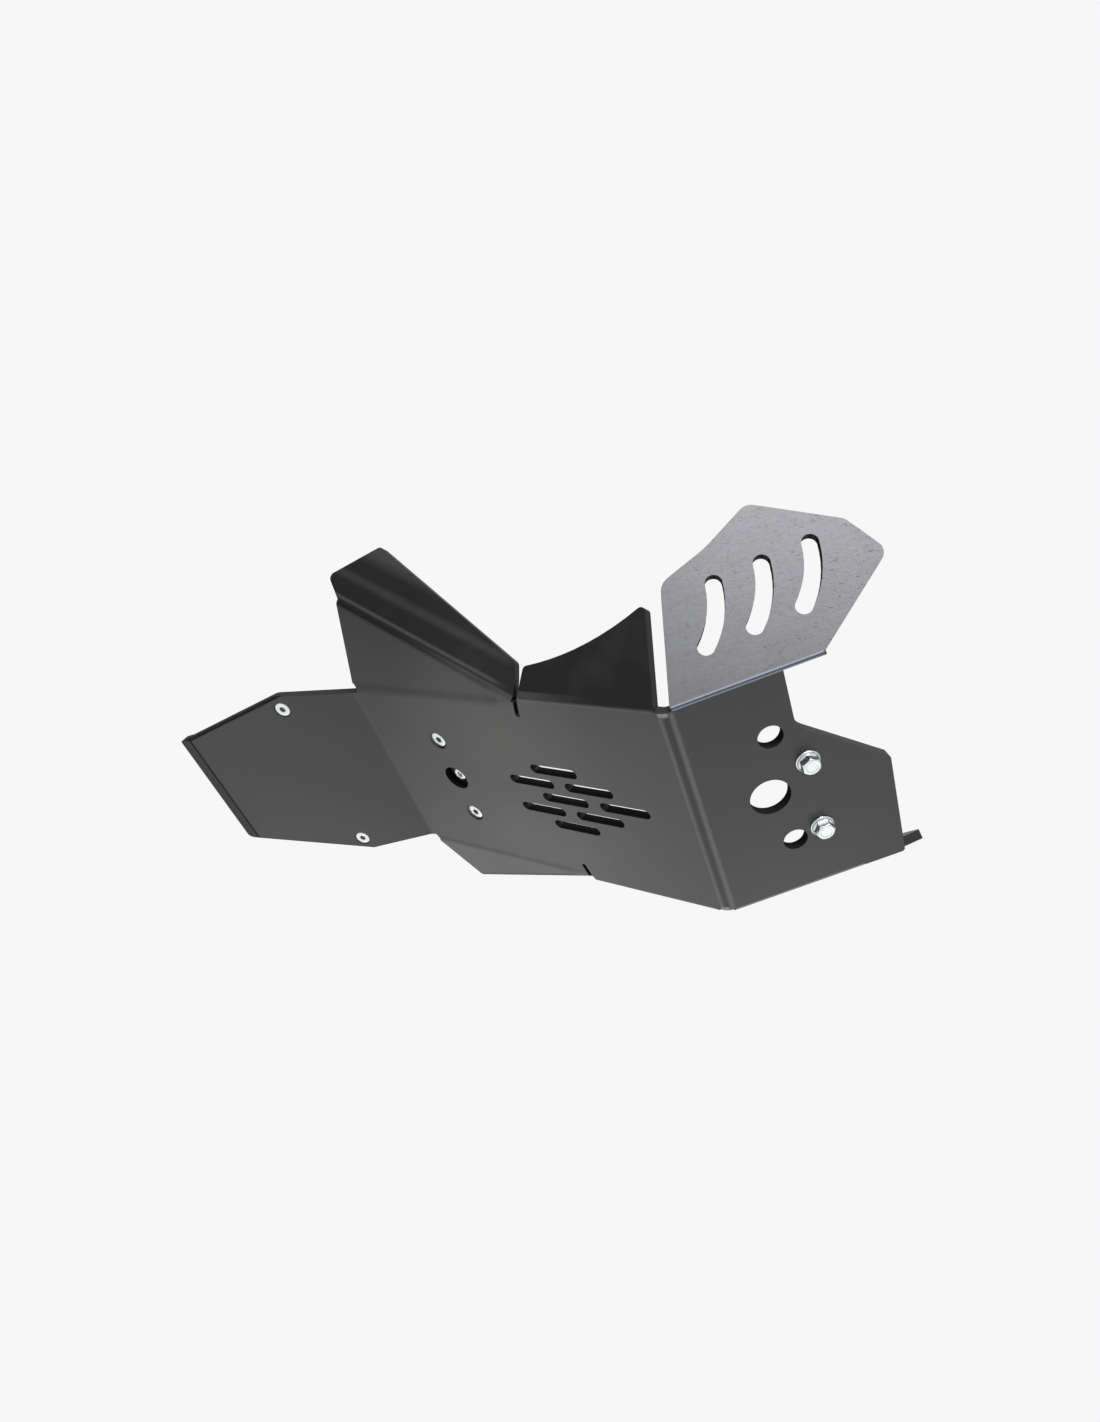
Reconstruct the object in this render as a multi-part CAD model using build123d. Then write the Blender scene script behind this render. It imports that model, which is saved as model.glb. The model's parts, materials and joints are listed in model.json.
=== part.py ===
"""Motorcycle skid plate folded from one plastic sheet, with its bolts, screws and rear bracket.

The sheet is modelled with its belly panel flat, the outer face at z = 0 and the tray above it, then
turned to the way it lies on a floor: on its front fold and on the fold of its guard's rear lip.
"""
import os
from math import acos, atan2, cos, degrees, hypot, radians, sin, tan

from build123d import *

# Sheet, and the radius on the outer face of each kind of fold
THICKNESS = 6.0
FRONT_FOLD_RADIUS = 9.0
SIDE_FOLD_RADIUS = 3.0
WING_FOLD_RADIUS = 7.0
GUARD_FOLD_RADIUS = 15.0

# Belly panel, x measured from the front fold; the slit's points are (x, distance in from the side fold)
BELLY_LENGTH = 252.0
BELLY_WIDTH = 157.0
REAR_WING_INSET = 4.5
SLIT_WIDTH = 3.2
SLIT_MOUTH_X = -101.2
SLIT_BOW = (-103.3, 7.0)
SLIT_END = (-104.4, 13.0)
VENT_LENGTH = 36.0
VENT_WIDTH = 7.4
VENT_PITCH = 44.8
VENT_ROW = 12.2
VENT_MIDDLE = (-95.6, 3.0)
VENT_CELLS = [(0, -2), (-1, -1), (1, -1), (0, 0), (2, 0), (-1, 1), (1, 1), (0, 2)]

# Front panel, u measured up the slope from the front fold
FRONT_ANGLE = 41.8
FRONT_LENGTH = 113.0
NOTCH_U = 65.0
NOTCH_CORNER_Y = -40.0
NOTCH_TOP_Y = 3.0
NOTCH_RADIUS = 14.0
NOTCH_TOP_RADIUS = 4.0
FRONT_CORNER_RADIUS = 2.0
FRONT_HOLE_U = 50.5
FRONT_HOLE_SPACING = 78.0
FRONT_HOLE_DIAMETER = 14.6
DRAIN_HOLE_U = 42.5
DRAIN_HOLE_Y = 1.5
DRAIN_HOLE_DIAMETER = 24.0
FRONT_BOLT_U = 67.2
FRONT_BOLT_SPACING = 50.0
FRONT_BOLT_MIDDLE_Y = 10.5

# Front side wings: outlines in (u, distance out from the fold)
FRONT_WING_ANGLE = 47.0
FRONT_WING_START = 3.8
FRONT_WING_END = 88.5
FRONT_WING_OUTLINE = [(23.5, 66.8), (52.8, 76.9), (82.0, 92.5), (126.0, 64.4), (139.0, 40.0)]
FRONT_WING_RADII = [10.0, 60.0, 8.0, 8.0, 7.0]
WING_SLOT_FIRST = (41.4, 40.6)
WING_SLOT_STEP = (27.4, 1.2)
WING_SLOT_COUNT = 3
WING_SLOT_LENGTH = 45.0
WING_SLOT_WIDTH = 9.4
WING_SLOT_BOW = 3.0
WING_SLOT_TILT = 27.7

# Front side flaps: outlines in (x, distance out from the fold)
FLAP_ANGLE = 47.0
FLAP_FRONT_X = -6.6
FLAP_FRONT_TOP = (-21.8, 58.2)
FLAP_TOP_BOW = (-58.0, 33.6)
FLAP_REAR_TOP = (-98.5, 19.5)
FLAP_CORNER_RADIUS = 3.0

# Rear side wings: a lower facet in (x, out), then an upper one whose corners are measured along and
# out from the rear and the front end of the crease between them
REAR_WING_ANGLE = 16.4
REAR_EDGE_RAKE = 5.8
CREASE_FRONT = (-104.8, 3.2)
CREASE_SLANT = -22.9
CREASE_ANGLE = 32.0
CREASE_LENGTH = 152.2
UPPER_FACET_REAR = [(-15.8, 13.0), (13.9, 46.0)]
UPPER_FACET_FRONT = [(-9.0, 20.6), (-3.6, 11.0)]
UPPER_FACET_RADII = [4.0, 4.0, 4.0, 6.0]

# Rear guard, u measured down the slope from the rear fold, and the lip at its end
GUARD_ANGLE = -21.2
GUARD_LENGTH = 161.5
GUARD_FRONT_WIDTH = 140.0
GUARD_WIDEST_U = 65.0
GUARD_WIDEST = 157.0
GUARD_REAR_WIDTH = 111.0
GUARD_CORNER_RADIUS = 14.0
GUARD_BEVEL = 2.0
GUARD_RELIEF_RADIUS = 4.0
GUARD_SCREW_U = 65.0
GUARD_SCREW_SPACING = 133.0
GUARD_SCREW_RECESS = 0.4
LIP_ANGLE = 17.0
LIP_LENGTH = 13.5
LIP_REAR_WIDTH = 105.0
LIP_CORNER_RADIUS = 3.0

# Bracket inside the belly and the screws that hold it
BRACKET_X = -190.0
BRACKET_LENGTH = 94.0
BRACKET_WIDTH = 26.0
BRACKET_THICKNESS = 5.0
BELLY_SCREW_SPACING = 68.0
BELLY_SCREW_RECESS = 1.0
ACCESS_HOLE_DIAMETER = 19.5

# M6 fastenings: a plain neck under the head, then the thread's outside diameter
THREAD_DIAMETER = 6.0
NECK_DIAMETER = 5.4
CLEARANCE_HOLE_DIAMETER = 6.6
TAPPED_HOLE_DIAMETER = 6.1
SCREW_LENGTH = 16.0
SCREW_NECK_LENGTH = 5.6
SCREW_HEAD_DIAMETER = 12.0
SEAT_CLEARANCE = 0.05
SOCKET_ACROSS_FLATS = 4.0
SOCKET_DEPTH = 2.2
BOLT_LENGTH = 20.0
BOLT_ACROSS_FLATS = 10.0
BOLT_HEAD_HEIGHT = 6.6
BOLT_CROWN = 0.4
BOLT_FLANGE_DIAMETER = 14.2
BOLT_FLANGE_RIM = 1.1
BOLT_FLANGE_SLOPE = 1.2

# Extra length that carries a cutting tool clear of both faces
OVERCUT = 1.0


class Fold:
    """A fold line on one panel, the bend round it and the plane of the panel beyond it.

    A panel's plane lies on its outer face with the normal into the tray. Beyond a fold, x runs along
    the line and y away from it, both measured from where the two outer faces would meet. A fold with
    a radius under the thickness was grooved inside first, so the inner faces meet in a sharp corner.
    """

    def __init__(self, panel, origin, along, angle, radius):
        turn = radians(angle)
        self.angle = angle
        self.along = (panel.x_dir * along[0] + panel.y_dir * along[1]).normalized()
        self.out = panel.z_dir.cross(self.along)
        self.origin = panel.from_local_coords(Vector(*origin))
        self.side = 1 if angle > 0 else -1
        self.radius = radius
        self.setback = radius * tan(abs(turn) / 2)
        self.centre = self.origin - self.out * self.setback + panel.z_dir * self.side * radius
        self.plane = Plane(
            self.origin, x_dir=self.along, z_dir=panel.z_dir * cos(turn) - self.out * sin(turn)
        )

    def bend(self, start, end):
        """The curved strip of sheet between two stations along the fold."""
        centre = (-self.setback, self.side * self.radius)
        outer = CenterArc(centre, self.radius, -90 * self.side, self.angle)
        inner_radius = self.radius - self.side * THICKNESS
        if inner_radius > 0:
            inner = CenterArc(centre, inner_radius, -90 * self.side, self.angle)
            rim = [outer, inner, Line(outer @ 0, inner @ 0), Line(outer @ 1, inner @ 1)]
        else:
            rim = [outer, Line(outer @ 0, centre), Line(outer @ 1, centre)]
        section = Plane(self.origin + self.along * start, x_dir=self.out, z_dir=self.along)
        return extrude(section * make_face(rim), amount=end - start, dir=self.along)


def shifted(plane, x, y):
    """A panel's plane with its origin moved across the panel."""
    return Plane(plane.location * Pos(x, y))


def panel(plane, face):
    """The flat sheet behind an outline drawn on a panel's outer face."""
    return extrude(plane * face, amount=THICKNESS, dir=plane.z_dir)


def through(plane, sketch):
    """Tool that cuts a sketch through the sheet at one panel."""
    start = plane.offset(-OVERCUT)
    return extrude(start * sketch, amount=THICKNESS + 2 * OVERCUT, dir=plane.z_dir)


def edge_bevel(plane, start, end):
    """Tool that bevels the outer face along a straight edge, which has the sheet on its right."""
    along = Vector(end[0] - start[0], end[1] - start[1])
    out = Vector(-along.Y, along.X).normalized()
    run_out = THICKNESS * 2
    station = Vector(*start) - along.normalized() * run_out
    section = Plane(
        plane.from_local_coords(station),
        x_dir=plane.x_dir * out.X + plane.y_dir * out.Y,
        z_dir=plane.x_dir * along.X + plane.y_dir * along.Y,
    )
    wedge = make_face(Polyline(
        (-GUARD_BEVEL - OVERCUT, -OVERCUT),
        (THICKNESS, -OVERCUT),
        (THICKNESS, GUARD_BEVEL + THICKNESS),
        close=True,
    ))
    return extrude(section * wedge, amount=along.length + 2 * run_out, dir=section.z_dir)


def turned(profile):
    """Solid of revolution about z from (radius, z) points that start and end on the axis."""
    return revolve(Plane.XZ * make_face(Polyline(*profile, close=True)), axis=Axis.Z)


def countersunk_hole(recess, depth):
    """Tool for a clearance hole whose screw head sits recess below the face at z = 0."""
    face_radius = SCREW_HEAD_DIAMETER / 2 + SEAT_CLEARANCE + recess
    hole_radius = CLEARANCE_HOLE_DIAMETER / 2
    return turned([
        (0, -OVERCUT),
        (face_radius + OVERCUT, -OVERCUT),
        (hole_radius, face_radius - hole_radius),
        (hole_radius, depth + OVERCUT),
        (0, depth + OVERCUT),
    ])


def shank_profile(neck, length):
    """The (radius, z) points of a shank from the foot of its neck to the middle of its tip."""
    neck_radius = NECK_DIAMETER / 2
    thread_radius = THREAD_DIAMETER / 2
    return [(neck_radius, neck), (thread_radius, neck), (thread_radius, length), (0, length)]


def socket_screw():
    """Countersunk screw with a hexagon socket, head face at z = 0 and shank along +z."""
    head_radius = SCREW_HEAD_DIAMETER / 2
    neck_radius = NECK_DIAMETER / 2
    head = [(0, 0), (head_radius, 0), (neck_radius, head_radius - neck_radius)]
    hexagon = RegularPolygon(SOCKET_ACROSS_FLATS / 2, 6, major_radius=False)
    socket = extrude(hexagon, amount=SOCKET_DEPTH, dir=(0, 0, 1))
    return turned(head + shank_profile(SCREW_NECK_LENGTH, SCREW_LENGTH)) - socket


def flange_bolt():
    """Hexagon flange bolt, seat at z = 0, head along -z and shank along +z."""
    flange_radius = BOLT_FLANGE_DIAMETER / 2
    hex_radius = BOLT_ACROSS_FLATS / 2
    slope_end = -BOLT_FLANGE_RIM - BOLT_FLANGE_SLOPE
    foot = [
        (0, slope_end),
        (hex_radius, slope_end),
        (flange_radius, -BOLT_FLANGE_RIM),
        (flange_radius, 0),
        (NECK_DIAMETER / 2, 0),
    ]
    hexagon = RegularPolygon(hex_radius, 6, major_radius=False)
    head = extrude(hexagon, amount=BOLT_HEAD_HEIGHT, dir=(0, 0, -1))
    crowned_head = chamfer(head.faces().sort_by(Axis.Z)[0].edges(), BOLT_CROWN)
    return turned(foot + shank_profile(THICKNESS, BOLT_LENGTH)) + crowned_head


def fillet_corners(points, radii):
    """Face inside a closed outline with one radius for each corner."""
    return make_face(FilletPolyline(*points, radius=radii, close=True))


# Folds of the left side and the middle; the right side mirrors the left
belly_plane = Plane.XY
side_fold_y = BELLY_WIDTH / 2
rear_wing_fold_y = side_fold_y - REAR_WING_INSET
front_fold = Fold(belly_plane, (0, 0), (0, -1), FRONT_ANGLE, FRONT_FOLD_RADIUS)
guard_fold = Fold(belly_plane, (-BELLY_LENGTH, 0), (0, 1), GUARD_ANGLE, GUARD_FOLD_RADIUS)
lip_fold = Fold(guard_fold.plane, (0, GUARD_LENGTH), (1, 0), LIP_ANGLE, FRONT_FOLD_RADIUS)
flap_fold = Fold(belly_plane, (0, side_fold_y), (1, 0), FLAP_ANGLE, SIDE_FOLD_RADIUS)
front_wing_fold = Fold(front_fold.plane, (-side_fold_y, 0), (0, 1), FRONT_WING_ANGLE, SIDE_FOLD_RADIUS)
rear_wing_fold = Fold(belly_plane, (0, rear_wing_fold_y), (1, 0), REAR_WING_ANGLE, WING_FOLD_RADIUS)
crease_along = Vector(cos(radians(CREASE_SLANT)), sin(radians(CREASE_SLANT)))
crease_rear = Vector(*CREASE_FRONT) - crease_along * CREASE_LENGTH
crease = Fold(
    rear_wing_fold.plane,
    (crease_rear.X, crease_rear.Y),
    (crease_along.X, crease_along.Y),
    CREASE_ANGLE,
    WING_FOLD_RADIUS,
)

# Belly and the strips round its front and rear folds
flap_base_y = side_fold_y - flap_fold.setback
wing_base_y = rear_wing_fold_y - rear_wing_fold.setback
belly_front_x = -front_fold.setback
belly_rear_x = guard_fold.setback - BELLY_LENGTH
belly_half = [
    (belly_front_x, flap_base_y),
    (SLIT_MOUTH_X, flap_base_y),
    (SLIT_MOUTH_X, wing_base_y),
    (belly_rear_x, wing_base_y),
]
belly_outline = belly_half + [(x, -y) for x, y in reversed(belly_half)]
belly = panel(belly_plane, make_face(Polyline(*belly_outline, close=True)))
front_bend = front_fold.bend(-flap_base_y, flap_base_y)
guard_bend = guard_fold.bend(-GUARD_FRONT_WIDTH / 2, GUARD_FRONT_WIDTH / 2)

# Front panel, with the clearance notch in its upper right corner
front_base_x = side_fold_y - front_wing_fold.setback
front_panel = panel(front_fold.plane, fillet_corners(
    [
        (-front_base_x, front_fold.setback),
        (-front_base_x, FRONT_WING_END),
        (-side_fold_y, FRONT_WING_END),
        (-side_fold_y, FRONT_LENGTH),
        (-NOTCH_TOP_Y, FRONT_LENGTH),
        (-NOTCH_CORNER_Y, NOTCH_U),
        (front_base_x, NOTCH_U),
        (front_base_x, front_fold.setback),
    ],
    [0, 0, 0, FRONT_CORNER_RADIUS, NOTCH_TOP_RADIUS, NOTCH_RADIUS, 0, 0],
))

# Guard and the lip turned up at its rear edge
guard_half = [
    (GUARD_FRONT_WIDTH / 2, guard_fold.setback),
    (GUARD_WIDEST / 2, GUARD_WIDEST_U),
    (GUARD_REAR_WIDTH / 2, GUARD_LENGTH - lip_fold.setback),
]
guard = panel(guard_fold.plane, fillet_corners(
    guard_half + [(-x, u) for x, u in reversed(guard_half)],
    [0, GUARD_CORNER_RADIUS, 0, 0, GUARD_CORNER_RADIUS, 0],
))
lip_bend = lip_fold.bend(-GUARD_REAR_WIDTH / 2, GUARD_REAR_WIDTH / 2)
lip_half = [(GUARD_REAR_WIDTH / 2, lip_fold.setback), (LIP_REAR_WIDTH / 2, LIP_LENGTH)]
lip = panel(lip_fold.plane, fillet_corners(
    lip_half + [(-x, out) for x, out in reversed(lip_half)],
    [0, LIP_CORNER_RADIUS, LIP_CORNER_RADIUS, 0],
))

# Side panels of the left side
front_wing_base = front_wing_fold.setback
front_wing = panel(front_wing_fold.plane, fillet_corners(
    [(FRONT_WING_START, front_wing_base), *FRONT_WING_OUTLINE, (FRONT_WING_END, front_wing_base)],
    [0, *FRONT_WING_RADII, 0],
))
front_wing_bend = front_wing_fold.bend(FRONT_WING_START, FRONT_WING_END)

flap_rear_x = SLIT_MOUTH_X + SLIT_WIDTH / 2
flap_base = flap_fold.setback
flap_edge = Polyline(
    FLAP_FRONT_TOP,
    (FLAP_FRONT_X, flap_base),
    (flap_rear_x, flap_base),
    FLAP_REAR_TOP,
)
flap_top = ThreePointArc(FLAP_REAR_TOP, FLAP_TOP_BOW, FLAP_FRONT_TOP)
flap_face = make_face([flap_edge, flap_top])
flap_corners = [
    flap_face.vertices().sort_by_distance(corner)[0] for corner in (FLAP_FRONT_TOP, FLAP_REAR_TOP)
]
flap = panel(flap_fold.plane, fillet(flap_corners, FLAP_CORNER_RADIUS))
flap_bend = flap_fold.bend(flap_rear_x, FLAP_FRONT_X)

wing_front_x = SLIT_MOUTH_X - SLIT_WIDTH / 2
wing_rear_x = crease_rear.X - REAR_EDGE_RAKE
crease_inward = Vector(crease_along.Y, -crease_along.X) * crease.setback
facet_rear = crease_rear + crease_inward
facet_front = Vector(*CREASE_FRONT) + crease_inward
lower_facet = panel(rear_wing_fold.plane, make_face(Polyline(
    (wing_rear_x, rear_wing_fold.setback),
    (facet_front.X, rear_wing_fold.setback),
    (facet_front.X, facet_front.Y),
    (facet_rear.X, facet_rear.Y),
    close=True,
)))
rear_wing_bend = rear_wing_fold.bend(wing_rear_x, wing_front_x)
upper_facet = panel(crease.plane, fillet_corners(
    [
        (0, crease.setback),
        *UPPER_FACET_REAR,
        *((CREASE_LENGTH + along, out) for along, out in UPPER_FACET_FRONT),
        (CREASE_LENGTH, crease.setback),
    ],
    [0, *UPPER_FACET_RADII, 0],
))
crease_bend = crease.bend(0, CREASE_LENGTH)

left_side = [front_wing, front_wing_bend, flap, flap_bend]
left_side += [rear_wing_bend, lower_facet, crease_bend, upper_facet]
right_side = [mirror(piece, about=Plane.XZ) for piece in left_side]
middle_row = [front_bend, front_panel, guard_bend, guard, lip_bend, lip]
sheet = belly + middle_row + left_side + right_side

# Slits between flaps and rear wings, and reliefs where the guard meets the wings
slit_points = [(x, side_fold_y - inset) for x, inset in (SLIT_END, SLIT_BOW, (SLIT_MOUTH_X, 0))]
slit = SlotArc(ThreePointArc(*slit_points), SLIT_WIDTH)
relief = Pos(-BELLY_LENGTH, GUARD_FRONT_WIDTH / 2 + GUARD_RELIEF_RADIUS) * Circle(GUARD_RELIEF_RADIUS)
left_cuts = [through(belly_plane, slit), through(belly_plane, relief)]

# Curved slots of the front wings
slot_direction = Vector(sin(radians(WING_SLOT_TILT)), cos(radians(WING_SLOT_TILT)))
slot_forward = Vector(slot_direction.Y, -slot_direction.X)
slot_half = slot_direction * (WING_SLOT_LENGTH - WING_SLOT_WIDTH) / 2
for index in range(WING_SLOT_COUNT):
    middle = Vector(*WING_SLOT_FIRST) + Vector(*WING_SLOT_STEP) * index
    bow = middle + slot_forward * WING_SLOT_BOW
    centreline = ThreePointArc(middle - slot_half, bow, middle + slot_half)
    left_cuts.append(through(front_wing_fold.plane, SlotArc(centreline, WING_SLOT_WIDTH)))
cuts = left_cuts + [mirror(tool, about=Plane.XZ) for tool in left_cuts]

# Bevels along the tapered sides of the guard
taper_front, taper_rear = guard_half[1:]
far_taper_front, far_taper_rear = [(-x, u) for x, u in guard_half[1:]]
cuts.append(edge_bevel(guard_fold.plane, taper_rear, taper_front))
cuts.append(edge_bevel(guard_fold.plane, far_taper_front, far_taper_rear))

# Vents and holes
for column, row in VENT_CELLS:
    place = Pos(VENT_MIDDLE[0] + column * VENT_PITCH / 2, VENT_MIDDLE[1] + row * VENT_ROW)
    cuts.append(through(belly_plane, place * SlotOverall(VENT_LENGTH, VENT_WIDTH)))
cuts.append(through(belly_plane, Pos(BRACKET_X, 0) * Circle(ACCESS_HOLE_DIAMETER / 2)))
front_bolt_places = [
    shifted(front_fold.plane, -FRONT_BOLT_MIDDLE_Y - side * FRONT_BOLT_SPACING / 2, FRONT_BOLT_U)
    for side in (-1, 1)
]
belly_screw_places = [
    shifted(belly_plane, BRACKET_X, side * BELLY_SCREW_SPACING / 2) for side in (-1, 1)
]
guard_screw_places = [
    shifted(guard_fold.plane, side * GUARD_SCREW_SPACING / 2, GUARD_SCREW_U) for side in (-1, 1)
]
for side in (-1, 1):
    place = Pos(side * FRONT_HOLE_SPACING / 2, FRONT_HOLE_U)
    cuts.append(through(front_fold.plane, place * Circle(FRONT_HOLE_DIAMETER / 2)))
drain_place = Pos(-DRAIN_HOLE_Y, DRAIN_HOLE_U)
cuts.append(through(front_fold.plane, drain_place * Circle(DRAIN_HOLE_DIAMETER / 2)))
cuts += [through(place, Circle(CLEARANCE_HOLE_DIAMETER / 2)) for place in front_bolt_places]
cuts += [place * countersunk_hole(BELLY_SCREW_RECESS, THICKNESS) for place in belly_screw_places]
cuts += [place * countersunk_hole(GUARD_SCREW_RECESS, THICKNESS) for place in guard_screw_places]
skid_plate = sheet - cuts

# Bracket on the tray face of the belly, tapped for the belly screws
bracket_plane = shifted(belly_plane.offset(THICKNESS), BRACKET_X, 0)
bracket_outline = Rot(0, 0, 90) * SlotOverall(BRACKET_LENGTH, BRACKET_WIDTH)
rear_bracket = extrude(bracket_plane * bracket_outline, amount=BRACKET_THICKNESS)
rear_bracket -= bracket_plane * countersunk_hole(0, BRACKET_THICKNESS)
for side in (-1, 1):
    tapped = shifted(bracket_plane, 0, side * BELLY_SCREW_SPACING / 2) * Circle(TAPPED_HOLE_DIAMETER / 2)
    rear_bracket -= extrude(tapped, amount=BRACKET_THICKNESS)

# Fastenings in their holes
front_bolts = [place * flange_bolt() for place in front_bolt_places]
head_places = [place.offset(BELLY_SCREW_RECESS) for place in belly_screw_places]
head_places += [place.offset(GUARD_SCREW_RECESS) for place in guard_screw_places]
head_places.append(bracket_plane)
countersunk_screws = [place * socket_screw() for place in head_places]

# Turn that lays the front bend and the bend of the rear lip on the floor
run = lip_fold.centre.X - front_fold.centre.X
drop = front_fold.centre.Z - lip_fold.centre.Z
radius_step = front_fold.radius - lip_fold.radius
rest_angle = degrees(atan2(run, drop) + acos(radius_step / hypot(run, drop)))
resting_box = (Rot(0, rest_angle, 0) * skid_plate).bounding_box()
rest = Pos(-resting_box.center().X, 0, -resting_box.min.Z) * Rot(0, rest_angle, 0)

nodes = {
    "skid_plate": [skid_plate],
    "front_bolts": front_bolts,
    "countersunk_screws": countersunk_screws,
    "rear_bracket": [rear_bracket],
}
os.makedirs("parts", exist_ok=True)
for name, pieces in nodes.items():
    solids = [rest * solid for piece in pieces for solid in piece.solids()]
    export_step(Compound(children=solids) if len(solids) > 1 else solids[0], f"parts/{name}.step")
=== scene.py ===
"""Dresses the folded skid plate: satin black sheet, zinc fastenings, painted bar, studio and camera."""
import json
from functools import cached_property
from math import cos, pi, radians, sin, tan

import bmesh
import bpy
from mathutils import Matrix, Vector
from mathutils.bvhtree import BVHTree


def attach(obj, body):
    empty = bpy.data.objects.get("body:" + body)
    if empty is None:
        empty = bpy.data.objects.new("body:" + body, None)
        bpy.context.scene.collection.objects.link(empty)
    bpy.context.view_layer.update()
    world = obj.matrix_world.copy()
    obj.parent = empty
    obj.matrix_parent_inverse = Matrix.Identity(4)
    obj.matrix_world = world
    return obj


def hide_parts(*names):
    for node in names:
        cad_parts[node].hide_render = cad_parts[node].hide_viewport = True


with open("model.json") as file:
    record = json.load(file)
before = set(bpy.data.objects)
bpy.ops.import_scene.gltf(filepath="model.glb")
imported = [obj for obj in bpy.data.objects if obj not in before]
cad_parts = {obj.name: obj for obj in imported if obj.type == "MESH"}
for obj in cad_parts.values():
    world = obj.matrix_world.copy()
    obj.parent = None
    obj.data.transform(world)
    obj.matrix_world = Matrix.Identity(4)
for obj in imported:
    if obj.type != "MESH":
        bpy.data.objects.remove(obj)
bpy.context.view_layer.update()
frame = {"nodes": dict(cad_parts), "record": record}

MM = 0.001
mounts = {mount["name"]: mount for mount in frame["record"]["mounts"]}


class Wire:
    """A node's output that takes part in arithmetic."""

    def __init__(self, graph, socket):
        self.graph = graph
        self.socket = socket

    def math(self, operation, *others):
        inputs = dict(enumerate((self, *others)))
        return self.graph.node("ShaderNodeMath", {"operation": operation}, inputs)

    def __add__(self, other):
        return self.math("ADD", other)

    __radd__ = __add__

    def __mul__(self, other):
        return self.math("MULTIPLY", other)

    __rmul__ = __mul__

    def __sub__(self, other):
        return self.math("SUBTRACT", other)

    def __rsub__(self, other):
        return self.graph.node("ShaderNodeMath", {"operation": "SUBTRACT"}, {0: other, 1: self})

    def __abs__(self):
        return self.math("ABSOLUTE")

    def at_most(self, other):
        return self.math("MINIMUM", other)

    def at_least(self, other):
        return self.math("MAXIMUM", other)

    def between(self, low, high):
        """0 at low, 1 at high, with a soft start and end."""
        settings = {"interpolation_type": "SMOOTHSTEP"}
        inputs = {"Value": self, "From Min": low, "From Max": high}
        return self.graph.node("ShaderNodeMapRange", settings, inputs)


class Graph:
    """The node tree of a material or of the world."""

    # Sockets of a Mix node for colours, by their places, because their names repeat
    MIX_INPUTS = (0, 6, 7)
    MIX_OUTPUT = 2

    def __init__(self, owner):
        owner.use_nodes = True
        self.owner = owner
        self.tree = owner.node_tree
        self.tree.nodes.clear()

    def node(self, kind, settings=None, inputs=None, output=0):
        """One output of a new node, from its type, its settings and its sockets' values or links."""
        made = self.tree.nodes.new(kind)
        for key, value in (settings or {}).items():
            setattr(made, key, value)
        for key, value in (inputs or {}).items():
            socket = made.inputs[key]
            if isinstance(value, Wire):
                self.tree.links.new(value.socket, socket)
            else:
                socket.default_value = value
        return Wire(self, made.outputs[output] if made.outputs else None)

    def place(self):
        """The place on the part, in metres."""
        return self.node("ShaderNodeTexCoord", output="Object")

    def vector(self, operation, *inputs, output="Vector"):
        return self.node("ShaderNodeVectorMath", {"operation": operation}, dict(enumerate(inputs)), output)

    def scaled(self, vector, factor):
        return self.node("ShaderNodeVectorMath", {"operation": "SCALE"}, {0: vector, "Scale": factor})

    def stretched(self, place, rotation, scale):
        return self.node("ShaderNodeMapping", None, {"Vector": place, "Rotation": rotation, "Scale": scale})

    def noise(self, place, scale, detail, roughness):
        inputs = {"Vector": place, "Scale": scale, "Detail": detail, "Roughness": roughness}
        return self.node("ShaderNodeTexNoise", None, inputs)

    def mix_colour(self, factor, first, second):
        inputs = dict(zip(self.MIX_INPUTS, (factor, first, second)))
        return self.node("ShaderNodeMix", {"data_type": "RGBA"}, inputs, self.MIX_OUTPUT)

    def mix_shader(self, factor, first, second):
        return self.node("ShaderNodeMixShader", None, {0: factor, 1: first, 2: second})

    def surface(self, colour, rough, height, bump, others):
        """Principled surface, its bump given by strength and depth in metres."""
        strength, depth = bump
        bump_inputs = {"Strength": strength, "Distance": depth, "Height": height}
        normal = self.node("ShaderNodeBump", None, bump_inputs)
        inputs = {"Base Color": colour, "Roughness": rough, "Normal": normal, **others}
        return self.node("ShaderNodeBsdfPrincipled", None, inputs)

    def finish(self, shader):
        """The material, with a shader for its surface."""
        self.node("ShaderNodeOutputMaterial", None, {"Surface": shader})
        return self.owner


def grey(value, warmth=0.0):
    return (value * (1 + warmth), value, value * (1 - warmth), 1.0)


class Panel:
    """A flat part of the sheet by its outer face: x along, y out, and the tray on the inward side."""

    def __init__(self, origin, along, inward):
        self.origin = origin
        self.along = along.normalized()
        self.inward = inward.normalized()
        self.out = self.inward.cross(self.along)

    def point(self, x, y, depth=0.0):
        return self.origin + (self.along * x + self.out * y + self.inward * depth) * MM

    def folded(self, x, y, direction, angle):
        """The panel beyond a fold through (x, y), with its own x along the fold."""
        along = (self.along * direction[0] + self.out * direction[1]).normalized()
        out = self.inward.cross(along)
        turn = radians(angle)
        return Panel(self.point(x, y), along, self.inward * cos(turn) - out * sin(turn))


# Folds of the sheet in mm and degrees, each placed on the panel that it leaves
FRONT_ANGLE = 41.8
FRONT_RADIUS = 9.0
SIDE_FOLD = 78.5
SIDE_ANGLE = 47.0
SIDE_RADIUS = 3.0
REAR_WING_FOLD = 74.0
REAR_WING_ANGLE = 16.4
CREASE_X = -104.8
CREASE_Y = 3.2
CREASE_TURN = radians(-22.9)
CREASE_ANGLE = 32.0
GUARD_FOLD = -252.0
GUARD_ANGLE = -21.2
LIP_FOLD = 161.5
LIP_ANGLE = 17.0

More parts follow.
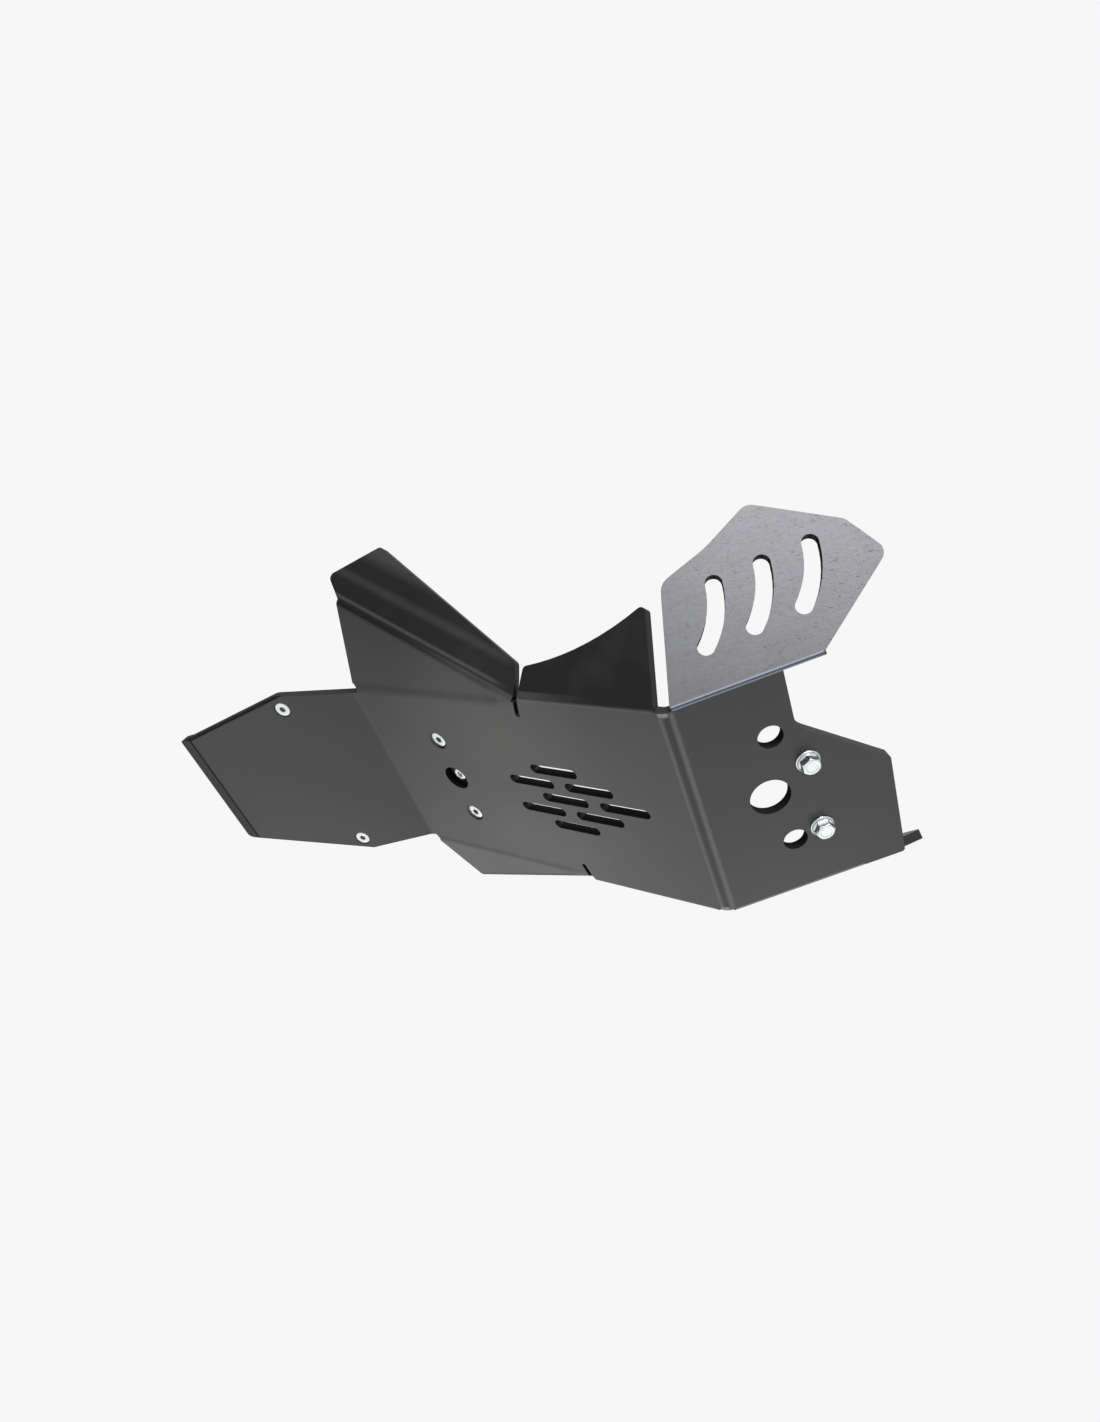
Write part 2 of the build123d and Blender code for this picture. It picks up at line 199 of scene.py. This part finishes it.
# Panels of the left side and the middle, from the belly, which lies square to the bracket's screw
BRACKET_X = -190.0
BRACKET_SCREW_MIDDLE = 16.8
belly_inward = Vector(mounts["bracket_screw"]["axis"])
forward = Vector((0, 1, 0)).cross(belly_inward)
screw_middle = Vector(mounts["bracket_screw"]["pos_m"])
belly_origin = screw_middle - (forward * BRACKET_X + belly_inward * BRACKET_SCREW_MIDDLE) * MM
belly = Panel(belly_origin, forward, belly_inward)
front = belly.folded(0, 0, (0, -1), FRONT_ANGLE)
front_wing = front.folded(-SIDE_FOLD, 0, (0, 1), SIDE_ANGLE)
flap = belly.folded(0, SIDE_FOLD, (1, 0), SIDE_ANGLE)
rear_wing = belly.folded(0, REAR_WING_FOLD, (1, 0), REAR_WING_ANGLE)
crease_direction = (cos(CREASE_TURN), sin(CREASE_TURN))
upper_facet = rear_wing.folded(CREASE_X, CREASE_Y, crease_direction, CREASE_ANGLE)
guard = belly.folded(GUARD_FOLD, 0, (0, 1), GUARD_ANGLE)
lip = guard.folded(0, LIP_FOLD, (1, 0), LIP_ANGLE)
panels = [belly, front, front_wing, flap, rear_wing, upper_facet, guard, lip]
skin_directions = [panel.inward for panel in panels]
skin_directions += [Vector((along, -across, up)) for along, across, up in skin_directions]


def setback(outer_radius, angle):
    """From the corner of a fold to where the outer skin enters its bend."""
    return outer_radius * tan(radians(angle) / 2)


# Lines where the outer skin enters a bend, with whitening and painted highlights: start, end, half width in
# mm, whitening
FRONT_SET = setback(FRONT_RADIUS, FRONT_ANGLE)
SIDE_SET = setback(SIDE_RADIUS, SIDE_ANGLE)
FRONT_END = 75.0
RELIEF_Y = 75.8
FLAP_LINE = SIDE_FOLD - SIDE_SET
bend_highlight_lines = [
    (belly.point(-FRONT_SET, -FRONT_END), belly.point(-FRONT_SET, FRONT_END), 2.0, 0.2),
    (front.point(-FRONT_END, FRONT_SET), front.point(FRONT_END, FRONT_SET), 2.4, 0.22),
    (belly.point(-99.0, FLAP_LINE), belly.point(-8.0, FLAP_LINE), 0.9, 0.09),
    # A painted bright spot at the relief notch where the flap's fold ends
    (belly.point(-3.0, RELIEF_Y), belly.point(0.5, RELIEF_Y), 2.4, 1.0),
]
LINE_INSET = 0.35
WING_LINE = SIDE_SET - LINE_INSET
WING_START = 5.0
WING_END = 87.0
wing_highlight_lines = [
    (front.point(WING_LINE - SIDE_FOLD, WING_START), front.point(WING_LINE - SIDE_FOLD, WING_END), 0.75, 1.0),
    (front_wing.point(WING_START, WING_LINE), front_wing.point(WING_END, WING_LINE), 0.75, 0.8),
]

# Painted highlight bands on the worked skin of the upper facet: middle out from the crease and half width in
# mm, whitening
crease_highlight_bands = [(4.4, 2.0, 0.085), (20.0, 5.0, 0.04), (42.0, 12.0, 0.07)]
CREASE_SHADOW = 2.2

# Painted shade along folds, made by a matt mix: the root of the rear wing and the fold of the lip
WING_ROOT_Y = 74.5
wing_root_shade_line = (belly.point(-120.0, WING_ROOT_Y), belly.point(-246.0, WING_ROOT_Y), 6.0)
lip_root_shade_line = (guard.point(0.0, LIP_FOLD), guard.point(60.0, LIP_FOLD), 2.2)

# Road dust, thickest beside the slit
DUST_MIDDLE = belly.point(-128.0, 58.0)
DUST_REACH = 95.0 * MM
DUST_CORE = 10.0 * MM


class Skin:
    """Places, masks and noises that the finishes of the sheet share."""

    BUMP = (0.5, 0.6 * MM)

    def __init__(self, graph):
        self.graph = graph
        self.place = graph.place()
        self.in_mm = graph.scaled(self.place, 1 / MM)
        self.grain = graph.noise(self.in_mm, 2.6, 2.0, 0.6)

    def noise(self, rotation, scale, detail):
        return self.graph.noise(self.graph.stretched(self.in_mm, rotation, scale), 1.0, detail, 0.6)

    @cached_property
    def streaks(self):
        """Fine streaks along the sheet, left by its rolling."""
        return self.noise((0, 0.3, 0.25), (0.035, 1.3, 1.3), 4.0)

    @cached_property
    def mottle(self):
        """Soft patches a few centimetres across."""
        return self.graph.noise(self.in_mm, 0.03, 3.0, 0.55)

    @cached_property
    def left(self):
        """The place on the left half that a point mirrors."""
        parts = self.graph.node("ShaderNodeSeparateXYZ", None, {0: self.place}).socket.node.outputs
        x, y, z = (Wire(self.graph, part) for part in parts)
        return self.graph.node("ShaderNodeCombineXYZ", None, {0: x, 1: abs(y), 2: z})

    def measure(self, panel, direction):
        """Distance in mm from a panel's origin along a direction."""
        offset = self.graph.vector("SUBTRACT", self.left, panel.origin)
        return self.graph.vector("DOT_PRODUCT", offset, direction / MM, output="Value")

    def on_panel(self, panel, far, near):
        """1 within a near distance in mm of a panel's outer face, falling to 0 at a far one."""
        return abs(self.measure(panel, panel.inward)).between(far, near)

    def line(self, start, end, half_width):
        """1 on a line between two points, falling to 0 at its half width."""
        along = (end - start).normalized()
        offset = self.graph.vector("SUBTRACT", self.left, start)
        station = self.graph.vector("DOT_PRODUCT", offset, along, output="Value")
        station = station.at_least(0.0).at_most((end - start).length)
        foot = self.graph.scaled(along, station)
        distance = self.graph.vector("DISTANCE", offset, foot, output="Value")
        return distance.between(half_width * MM, 0.1 * half_width * MM)

    def lines(self, lines, texture):
        """Lines from (start, end, half width, strength), broken up by a texture."""
        total = 0.0
        for start, end, half_width, strength in lines:
            line = self.line(start, end, half_width) * strength * (0.4 + texture * 1.2)
            total = line.at_least(total)
        return total

    def shader(self, colour, rough, height, ior):
        """Surface of the sheet, glossier with a higher index of refraction."""
        return self.graph.surface(colour, rough, height, self.BUMP, {"IOR": ior})


def crease_highlights_and_shade(skin):
    """Painted highlight bands on the worked skin of the upper facet, and the painted shade at the root of its
    crease.
    """
    out = skin.measure(upper_facet, upper_facet.out)
    before_slit = skin.measure(upper_facet, upper_facet.along).between(-4.0, -22.0)
    on_facet = skin.on_panel(upper_facet, 1.4, 0.6) * before_slit
    bands = 0.0
    for middle, half_width, strength in crease_highlight_bands:
        band = abs(out - middle).between(half_width, 0.0) * on_facet * strength
        bands = band.at_least(bands)
    by_crease = abs(out + CREASE_SHADOW * 0.5).between(CREASE_SHADOW * 1.5, 0.0)
    return bands, by_crease * skin.on_panel(upper_facet, 2.4, 1.2) * before_slit


def slit_dust(skin):
    """Road dust on the belly and the rear wing, about the slit between wing and flap."""
    below = skin.on_panel(belly, 2.4, 0.8).at_least(skin.on_panel(rear_wing, 1.4, 0.6))
    distance = skin.graph.vector("DISTANCE", skin.left, DUST_MIDDLE, output="Value")
    return below * distance.between(DUST_REACH, DUST_CORE) * (0.6 + skin.mottle * 0.8)


def wing_wear_and_sheen(skin, scuffs):
    """Pale wear of the front wing in streaks along it, stronger towards its tip; it also carries the wing's
    painted sheen.
    """
    along = skin.measure(front_wing, front_wing.along)
    out = skin.measure(front_wing, front_wing.out)
    rolling_place = skin.graph.node("ShaderNodeCombineXYZ", None, {0: along * 0.02, 1: out * 0.5})
    rolling = skin.graph.noise(rolling_place, 1.0, 4.0, 0.6)
    return (scuffs * 0.45 + rolling * 0.55).between(0.2, 0.8) * (0.82 + out * 0.0035)


def sheet_finish():
    """Satin black sheet: faint streaks, soft mottling, whitening and painted highlights at the bends, painted
    shade at the folds, dust, and scuffed front wings with a painted bluish sheen.
    """
    graph = Graph(bpy.data.materials.new("satin_black_sheet"))
    skin = Skin(graph)
    streaks = skin.streaks
    cross_streaks = skin.noise((0.2, -0.4, -0.7), (0.03, 0.9, 0.9), 3.0)
    scuffs = skin.noise((0, 0.5, 0.2), (0.3, 0.42, 0.42), 4.0)
    scratches = abs(skin.noise((0.3, 1.2, 0.4), (0.012, 0.5, 0.5), 1.0) - 0.5).between(0.012, 0.0)
    cloud = graph.noise(skin.in_mm, 0.011, 2.0, 0.5)
    wave = graph.noise(skin.in_mm, 0.016, 1.0, 0.4)
    dust = cloud.between(0.45, 0.8) * skin.mottle.between(0.4, 0.75)
    bands, crease_root_shade = crease_highlights_and_shade(skin)
    whitening_and_highlights = skin.lines(bend_highlight_lines, scuffs).at_least(bands)
    wing_bend_highlight = skin.lines(wing_highlight_lines, streaks)
    wing_root_shade = skin.line(*wing_root_shade_line)
    lip_root_shade = skin.line(*lip_root_shade_line)
    # Painted shade, by a matt mix: at the root of the crease, of the rear wing and of the lip's fold
    fold_shade = (crease_root_shade * 0.3).at_least(wing_root_shade * 0.22).at_least(lip_root_shade * 0.75)
    on_wing = skin.on_panel(front_wing, 1.0, 0.4)

    colour = graph.mix_colour(skin.mottle, grey(0.006), grey(0.01))
    colour = graph.mix_colour(streaks.between(0.55, 0.85) * 0.16, colour, grey(0.05))
    colour = graph.mix_colour(dust * 0.05, colour, grey(0.12, 0.03))
    colour = graph.mix_colour(slit_dust(skin) * 0.16, colour, grey(0.2, 0.06))
    # Scuffs of the front wing, tinted blue as a painted reflection of pale light
    colour = graph.mix_colour(on_wing * wing_wear_and_sheen(skin, scuffs) * 0.24, colour, (0.12, 0.13, 0.16, 1.0))
    colour = graph.mix_colour(on_wing * scratches * 0.5, colour, grey(0.004))
    # Whitening of the worked skin, which also paints the highlights along the bends and the bands on the
    # upper facet
    colour = graph.mix_colour(whitening_and_highlights, colour, grey(0.31))
    # Painted bluish highlights along the fold of the front wing
    colour = graph.mix_colour(wing_bend_highlight, colour, (0.165, 0.195, 0.255, 1.0))

    rough = 0.3 + streaks * 0.07 + cross_streaks * 0.05 + dust * 0.06 + whitening_and_highlights * 0.15
    rough = rough + on_wing * (0.06 + scratches * 0.2)
    height = streaks * 0.02 + cross_streaks * 0.015 + skin.grain * 0.012 + wave * 1.2
    height = height + scuffs * on_wing * 0.03
    satin = skin.shader(colour, rough, height, 1.52)
    # Matt surface mixed in where the folds take painted shade
    matt = skin.shader(grey(0.005), 0.8, height, 1.1)
    return graph.finish(graph.mix_shader(fold_shade, satin, matt))


def tray_finish():
    """Tray side of the sheet: the same black, rough all over with fine dust that settles there, and painted a
    lighter tone that stands in for light from above.
    """
    graph = Graph(bpy.data.materials.new("dusty_tray_painted_light"))
    skin = Skin(graph)
    colour = graph.mix_colour(skin.mottle, grey(0.016), grey(0.03, 0.03))
    rough = 0.48 + skin.mottle * 0.12 + skin.streaks * 0.06
    height = skin.streaks * 0.02 + skin.grain * 0.03
    return graph.finish(skin.shader(colour, rough, height, 1.4))


def wall_finish():
    """Walls of holes, vents and slits: dead matt, darkened to paint the shade inside them, with patches of
    dirt that never wipes off.
    """
    graph = Graph(bpy.data.materials.new("hole_walls"))
    skin = Skin(graph)
    dirt = graph.noise(skin.in_mm, 0.35, 3.0, 0.6)
    colour = graph.mix_colour(dirt, grey(0.006), grey(0.012, 0.08))
    return graph.finish(skin.shader(colour, 0.85 + dirt * 0.1, skin.grain * 0.03, 1.08))


def edge_finish():
    """Routed edge of the sheet: duller than the skin, with marks of the cutter across it."""
    graph = Graph(bpy.data.materials.new("routed_edge"))
    skin = Skin(graph)
    cutter_marks = skin.noise((0, 0, 0), (2.2, 2.2, 0.12), 2.0)
    colour = graph.mix_colour(cutter_marks, grey(0.005), grey(0.012))
    height = cutter_marks * 0.05 + skin.grain * 0.03
    return graph.finish(skin.shader(colour, 0.62 + cutter_marks * 0.15, height, 1.28))


def zinc_finish(name, dirt):
    """Bright zinc plate with fine handling marks and a slight blue cast, darkened by a given amount of dirt
    and painted shade.
    """
    graph = Graph(bpy.data.materials.new(name))
    place = graph.place()
    blush = graph.noise(place, 420.0, 3.0, 0.6)
    marks = graph.noise(graph.stretched(place, (0.5, 0.2, 0.8), (700.0, 2600.0, 2600.0)), 1.0, 3.0, 0.6)
    colour = graph.mix_colour(blush, (0.56, 0.60, 0.61, 1.0), (0.70, 0.725, 0.72, 1.0))
    colour = graph.mix_colour(dirt, colour, (0.05, 0.06, 0.06, 1.0))
    rough = 0.16 + dirt * 0.3 + blush * 0.1 + marks * 0.12
    return graph.finish(graph.surface(colour, rough, marks, (0.25, 0.1 * MM), {"Metallic": 1.0}))


def bar_finish():
    """Matt black paint with a slight orange peel."""
    graph = Graph(bpy.data.materials.new("bar_paint"))
    place = graph.place()
    peel = graph.noise(place, 900.0, 2.0, 0.5)
    patches = graph.noise(place, 60.0, 3.0, 0.6)
    colour = graph.mix_colour(patches, grey(0.014), grey(0.03))
    return graph.finish(graph.surface(colour, 0.5 + patches * 0.15, peel, (0.3, 0.2 * MM), {}))


def linked(name, data):
    """A new object in the scene."""
    made = bpy.data.objects.new(name, data)
    bpy.context.scene.collection.objects.link(made)
    return made


# Finishes of the sheet in the order of its material slots, and what tells its faces apart
OUTER_SKIN, TRAY_SKIN, WALL, EDGE = range(4)
SQUARE = 0.9
THINNEST_SKIN = 2.4 * MM
THICKEST_SKIN = 9.5 * MM
LONGEST_SLOT = 46.0 * MM
RAY_CLEARANCE = 0.02 * MM


def sort_faces(shape):
    """Gives skins, walls that face another wall, and free edges of the sheet their own finishes."""
    solid = BVHTree.FromBMesh(shape)
    for face in shape.faces:
        middle = face.calc_center_median()
        clear = face.normal * RAY_CLEARANCE
        depth = solid.ray_cast(middle - clear, -face.normal)[3] or 0.0
        opposite = solid.ray_cast(middle + clear, face.normal, LONGEST_SLOT)[1]
        squareness = [face.normal.dot(direction) for direction in skin_directions]
        in_skin = THINNEST_SKIN < depth < THICKEST_SKIN
        if in_skin and min(squareness) < -SQUARE:
            face.material_index = OUTER_SKIN
        elif in_skin and max(squareness) > SQUARE:
            face.material_index = TRAY_SKIN
        elif opposite and opposite.dot(face.normal) < -SQUARE:
            face.material_index = WALL
        else:
            face.material_index = EDGE


WELD = 0.002 * MM
FLAT_ANGLE = radians(0.2)
ROUNDED_ANGLE = radians(28)


def rounded_copy(node, name, finishes, rounding):
    """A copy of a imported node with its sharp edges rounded, and with the last finish on the roundings."""
    shape = bmesh.new()
    shape.from_mesh(frame["nodes"][node].data)
    bmesh.ops.remove_doubles(shape, verts=shape.verts, dist=WELD)
    shape.normal_update()
    if len(finishes) > 1:
        sort_faces(shape)
    bmesh.ops.dissolve_limit(
        shape,
        angle_limit=FLAT_ANGLE,
        verts=shape.verts,
        edges=shape.edges,
        delimit={"MATERIAL"},
    )
    mesh = bpy.data.meshes.new(name)
    shape.to_mesh(mesh)
    shape.free()
    mesh.shade_smooth()
    for finish in finishes:
        mesh.materials.append(finish)
    piece = linked(name, mesh)
    bevel = piece.modifiers.new("rounded_edges", "BEVEL")
    bevel.width = rounding
    bevel.segments = 2
    bevel.limit_method = "ANGLE"
    bevel.angle_limit = ROUNDED_ANGLE
    bevel.material = len(finishes) - 1
    normals = piece.modifiers.new("flat_panels", "WEIGHTED_NORMAL")
    normals.keep_sharp = True
    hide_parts(node)
    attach(piece, "root")
    return piece


def hexagon(across_flats):
    """Radius of a hexagon at each angle, with a corner at angle 0."""
    return lambda angle: across_flats / 2 / cos((angle % (pi / 3)) - pi / 6)


def coned(shape, radius):
    """The smaller of a shape and a circle at each angle."""
    return lambda angle: min(shape(angle), radius)


# M6 coarse thread in mm
THREAD_RADIUS = 3.0
THREAD_PITCH = 1.0
THREAD_DEPTH = 0.55
RINGS_PER_TURN = 6
TIP_SLOPE = 0.8


def thread_rings(start, end):
    """Rings of the thread, with a chamfered tip."""
    step = THREAD_PITCH / RINGS_PER_TURN

    def ring(z):
        limit = min(THREAD_RADIUS, THREAD_RADIUS - THREAD_DEPTH + (end - z) * TIP_SLOPE)

        def radius(angle):
            turn = (z / THREAD_PITCH - angle / (2 * pi)) % 1
            return min(limit, THREAD_RADIUS - THREAD_DEPTH * abs(2 * turn - 1))

        return z, radius

    return [ring(start + index * step) for index in range(round((end - start) / step) + 1)]


TURNED_SEGMENTS = 48
TURNED_CREASE = radians(32)


def turned_piece(name, rings, shaded_bands, place, node):
    """Closed turned piece from (height, radius) rings in mm, where a radius may change with the angle.

    The bands between rings that are named by their places, such as those in a socket, take dirty zinc that is
    darkened to paint the shade in them.
    """
    shape = bmesh.new()
    loops = []
    for height, radius in rings:
        loop = []
        for index in range(TURNED_SEGMENTS):
            angle = 2 * pi * index / TURNED_SEGMENTS
            size = radius(angle) if callable(radius) else radius
            loop.append(shape.verts.new(Vector((size * cos(angle), size * sin(angle), height)) * MM))
        loops.append(loop)
    for band, (lower, upper) in enumerate(zip(loops, loops[1:])):
        for index in range(TURNED_SEGMENTS):
            after = (index + 1) % TURNED_SEGMENTS
            face = shape.faces.new((lower[index], lower[after], upper[after], upper[index]))
            face.material_index = 1 if band in shaded_bands else 0
    shape.faces.new(reversed(loops[0])).material_index = 1 if 0 in shaded_bands else 0
    shape.faces.new(loops[-1])
    shape.transform(place)
    bmesh.ops.recalc_face_normals(shape, faces=shape.faces)
    mesh = bpy.data.meshes.new(name)
    shape.to_mesh(mesh)
    shape.free()
    mesh.materials.append(bright_zinc)
    mesh.materials.append(dirty_shaded_zinc)
    mesh.shade_smooth()
    mesh.set_sharp_from_angle(angle=TURNED_CREASE)
    piece = linked(name, mesh)
    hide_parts(node)
    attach(piece, "root")


def placed(panel, x, y, depth):
    """Matrix that puts a fastening on a panel, its shank inward."""
    turn = Matrix((panel.along, panel.out, panel.inward)).transposed().to_4x4()
    return Matrix.Translation(panel.point(x, y, depth)) @ turn


# Sheet and bar
SHEET_ROUNDING = 0.45 * MM
BAR_ROUNDING = 0.6 * MM
sheet_finishes = [sheet_finish(), tray_finish(), wall_finish(), edge_finish()]
sheet = rounded_copy("skid_plate", "folded_sheet", sheet_finishes, SHEET_ROUNDING)
bar = rounded_copy("rear_bracket", "bracket_bar", [bar_finish()], BAR_ROUNDING)

# Front bolts: rings from the dished top of the head to the tip of the thread, 0 under the flange
bright_zinc = zinc_finish("bright_zinc", 0.0)
# Dirty zinc that also paints the shade in the sockets and in the groove at the root of the bolts' heads
dirty_shaded_zinc = zinc_finish("dirty_shaded_zinc", 0.55)
HEAD_TOP = -6.6
SHANK_RADIUS = 2.7
head_hex = hexagon(10.0)
head_rings = [(-6.3, 0.4), (-6.3, 3.1), (-6.45, 3.3), (HEAD_TOP, 3.7), (HEAD_TOP, 4.5)]
head_rings += [(HEAD_TOP + lift, coned(head_hex, 4.6 + lift * 1.7)) for lift in (0.1, 0.25, 0.4, 0.55, 0.72)]
head_rings += [(-2.5, head_hex), (-2.25, lambda angle: head_hex(angle) + 0.15)]
flange_rings = [(-1.75, 5.97), (-1.2, 6.6), (-1.05, 6.9), (-0.75, 7.1), (-0.25, 7.1), (0.0, 6.9)]
bolt_shank = [(0.0, SHANK_RADIUS), (5.6, SHANK_RADIUS)] + thread_rings(6.0, 20.0)
bolt_rings = head_rings + flange_rings + bolt_shank
# The groove at the root of the head takes the dirty zinc, as painted shade
FLANGE_GROOVE = {len(head_rings)}
FRONT_BOLT_OUT = 67.2
for side, x, turn in (("right", 14.5, 0), ("left", -35.5, 30)):
    place = placed(front, x, FRONT_BOLT_OUT, 0) @ Matrix.Rotation(radians(turn), 4, "Z")
    turned_piece(f"front_bolt_{side}", bolt_rings, FLANGE_GROOVE, place, "front_bolts")

# Countersunk screws: rings from the floor of the socket to the tip, 0 at the face of a flat head
HEAD_RISE = 2.6
BELLY_SCREW_Y = 34.0
BELLY_SCREW_DEPTH = 1.0
GUARD_SCREW_X = 66.5
GUARD_SCREW_Y = 65.0
GUARD_SCREW_DEPTH = 0.4
BRACKET_SCREW_DEPTH = 6.0
socket_hex = hexagon(4.0)
socket_rings = [(2.7, 0.3), (2.15, socket_hex), (0.25, socket_hex), (0.0, 2.45)]
# The socket takes the dirty zinc, as painted shade in its hollow
SOCKET = set(range(len(socket_rings) - 1))
screw_shank = [(0.3, 5.7), (3.3, SHANK_RADIUS), (5.4, SHANK_RADIUS)] + thread_rings(5.6, 16.0)
flat_screw = socket_rings + [(0.0, 5.3), (0.12, 5.6)] + screw_shank
raised_screw = [(height - HEAD_RISE, radius) for height, radius in socket_rings]
raised_screw += [(-HEAD_RISE, 4.2), (-2.3, 4.7), (-1.7, 5.0), (0.0, 5.1), (0.1, 5.6)] + screw_shank
for side, sign in (("right", -1), ("left", 1)):
    belly_place = placed(belly, BRACKET_X, sign * BELLY_SCREW_Y, BELLY_SCREW_DEPTH)
    turned_piece(f"belly_screw_{side}", flat_screw, SOCKET, belly_place, "countersunk_screws")
for side, sign in (("right", -1), ("left", 1)):
    guard_place = placed(guard, sign * GUARD_SCREW_X, GUARD_SCREW_Y, GUARD_SCREW_DEPTH)
    turned_piece(f"guard_screw_{side}", flat_screw, SOCKET, guard_place, "countersunk_screws")
bracket_place = placed(belly, BRACKET_X, 0.0, BRACKET_SCREW_DEPTH)
turned_piece("bracket_screw", raised_screw, set(), bracket_place, "countersunk_screws")


def stage_mesh(name, points, faces, finish):
    mesh = bpy.data.meshes.new(name)
    mesh.from_pydata(points, [], faces)
    mesh.materials.append(finish)
    made = linked(name, mesh)
    return made


FLOOR_REACH = 4.0
FLOOR_HEIGHT = -0.5 * MM
FADE_START = 0.42
FADE_END = 1.15
FLOOR_TONE = 0.8
ONE_FACE = [(0, 1, 2, 3)]


def floor_finish():
    """Pale floor that shows from above only and fades into the background."""
    graph = Graph(bpy.data.materials.new("pale_floor"))
    under = graph.node("ShaderNodeNewGeometry", output="Backfacing")
    reach = graph.vector("LENGTH", graph.place(), output="Value")
    surface = graph.node("ShaderNodeBsdfDiffuse", None, {"Color": grey(FLOOR_TONE)})
    clear = graph.node("ShaderNodeBsdfTransparent")
    hidden = under.at_least(reach.between(FADE_START, FADE_END))
    return graph.finish(graph.mix_shader(hidden, surface, clear))


floor_corners = [(-1, -1), (1, -1), (1, 1), (-1, 1)]
floor_points = [(x * FLOOR_REACH, y * FLOOR_REACH, FLOOR_HEIGHT) for x, y in floor_corners]
floor = stage_mesh("floor", floor_points, ONE_FACE, floor_finish())
floor.visible_diffuse = False
floor.visible_glossy = False
floor.visible_transmission = False
floor.visible_shadow = False


def card(name, points, faces, finish_name, tone):
    """Card of one tone that only reflections see."""
    graph = Graph(bpy.data.materials.new(finish_name))
    finish = graph.finish(graph.node("ShaderNodeBsdfDiffuse", None, {"Color": grey(tone)}))
    made = stage_mesh(name, points, faces, finish)
    made.visible_camera = False
    made.visible_diffuse = False
    made.visible_shadow = False


# Dark card round the right rear for the side panels, dim one behind the lip, grey one at the left rear
CARD_RADIUS = 1.3
CARD_HEIGHTS = (-1.4, 0.5)
CARD_START = -172
CARD_STEP = 6
CARD_FACES = 14
LIP_CARD_X = -0.31
card_angles = [radians(CARD_START + step * CARD_STEP) for step in range(CARD_FACES + 1)]
card_circle = [(CARD_RADIUS * cos(angle), CARD_RADIUS * sin(angle)) for angle in card_angles]
right_points = [(x, y, height) for x, y in card_circle for height in CARD_HEIGHTS]
right_faces = [(2 * step, 2 * step + 2, 2 * step + 3, 2 * step + 1) for step in range(CARD_FACES)]
lip_corners = [(-0.07, -0.05), (0.11, -0.05), (0.11, 0.02), (-0.07, 0.02)]
lip_points = [(LIP_CARD_X, y, z) for y, z in lip_corners]
left_points = [(-1.2, 0.6, -0.1), (-0.5, 1.3, -0.1), (-0.5, 1.3, 0.6), (-1.2, 0.6, 0.6)]
card("right_card", right_points, right_faces, "dark_card", 0.012)
card("lip_card", lip_points, ONE_FACE, "dim_card", 0.25)
card("left_card", left_points, ONE_FACE, "grey_card", 0.40)


def softbox(name, position, target, size, radiance, colour):
    """Rectangular lamp of one even brightness, turned to a target, its width level."""
    data = bpy.data.lights.new(name, "AREA")
    data.shape = "RECTANGLE"
    data.size, data.size_y = size
    data.energy = radiance * pi * size[0] * size[1]
    data.color = colour
    lamp = linked(name, data)
    lamp.location = position
    lamp.rotation_euler = (Vector(target) - Vector(position)).to_track_quat("-Z", "Y").to_euler()
    lamp.visible_camera = False


# Lamps: place, target and size in metres, radiance, colour
softbox("right_softbox", (1.90, -4.25, 0.51), (0.20, -0.11, 0.07), (2.78, 3.51), 17.6, (0.95, 0.95, 1.0))
softbox("left_strip", (-0.15, 1.35, -0.78), (0, 0, 0.03), (2.8, 0.6), 0.62, (1.0, 0.98, 0.95))
softbox("front_softbox", (0.90, 1.05, -0.85), (0.2, 0, 0.03), (1.1, 1.1), 0.45, (1.0, 0.99, 0.98))
softbox("rear_softbox", (-0.95, 0.50, -1.15), (0, 0, 0.03), (1.5, 1.5), 0.28, (1.0, 0.98, 0.95))
softbox("top_softbox", (0.35, -0.55, 1.5), (0, 0, 0), (1.0, 1.0), 3.0, (1.0, 0.99, 0.97))

# Pale background for what the camera and reflections see, and a weaker even fill for the light
BACKGROUND_TONE = 0.93
FILL_STRENGTH = 0.45
world = bpy.data.worlds.new("studio")
bpy.context.scene.world = world
air = Graph(world)
camera_ray = air.node("ShaderNodeLightPath", output="Is Camera Ray")
glossy_ray = air.node("ShaderNodeLightPath", output="Is Glossy Ray")
through_ray = air.node("ShaderNodeLightPath", output="Is Transmission Ray")
pale = air.node("ShaderNodeBackground", None, {"Color": grey(BACKGROUND_TONE), "Strength": 1.0})
fill = air.node("ShaderNodeBackground", None, {"Color": grey(1.0), "Strength": FILL_STRENGTH})
surround = air.mix_shader(camera_ray.at_least(glossy_ray).at_least(through_ray), fill, pale)
air.node("ShaderNodeOutputWorld", None, {"Surface": surround})

# Camera at the photograph's viewing angle, its focal length in pixels of the photograph's frame
FRAME_HEIGHT = 1422
FOCAL_PIXELS = 850
CAMERA_PLACE = Vector((0.3386, -0.3299, -0.3201))
VIEW_FORWARD = Vector((-0.5176, 0.5267, 0.6743))
VIEW_RIGHT = Vector((0.8556, 0.3266, 0.4017))
camera_data = bpy.data.cameras.new("camera")
camera_data.sensor_width = 36.0
camera_data.lens = FOCAL_PIXELS * camera_data.sensor_width / FRAME_HEIGHT
camera_data.clip_start = 0.01
camera = linked("camera", camera_data)
back = -VIEW_FORWARD.normalized()
up = back.cross(VIEW_RIGHT).normalized()
right = up.cross(back)
camera.matrix_world = Matrix.Translation(CAMERA_PLACE) @ Matrix((right, up, back)).transposed().to_4x4()
bpy.context.scene.camera = camera
bpy.context.scene.view_settings.view_transform = "Standard"
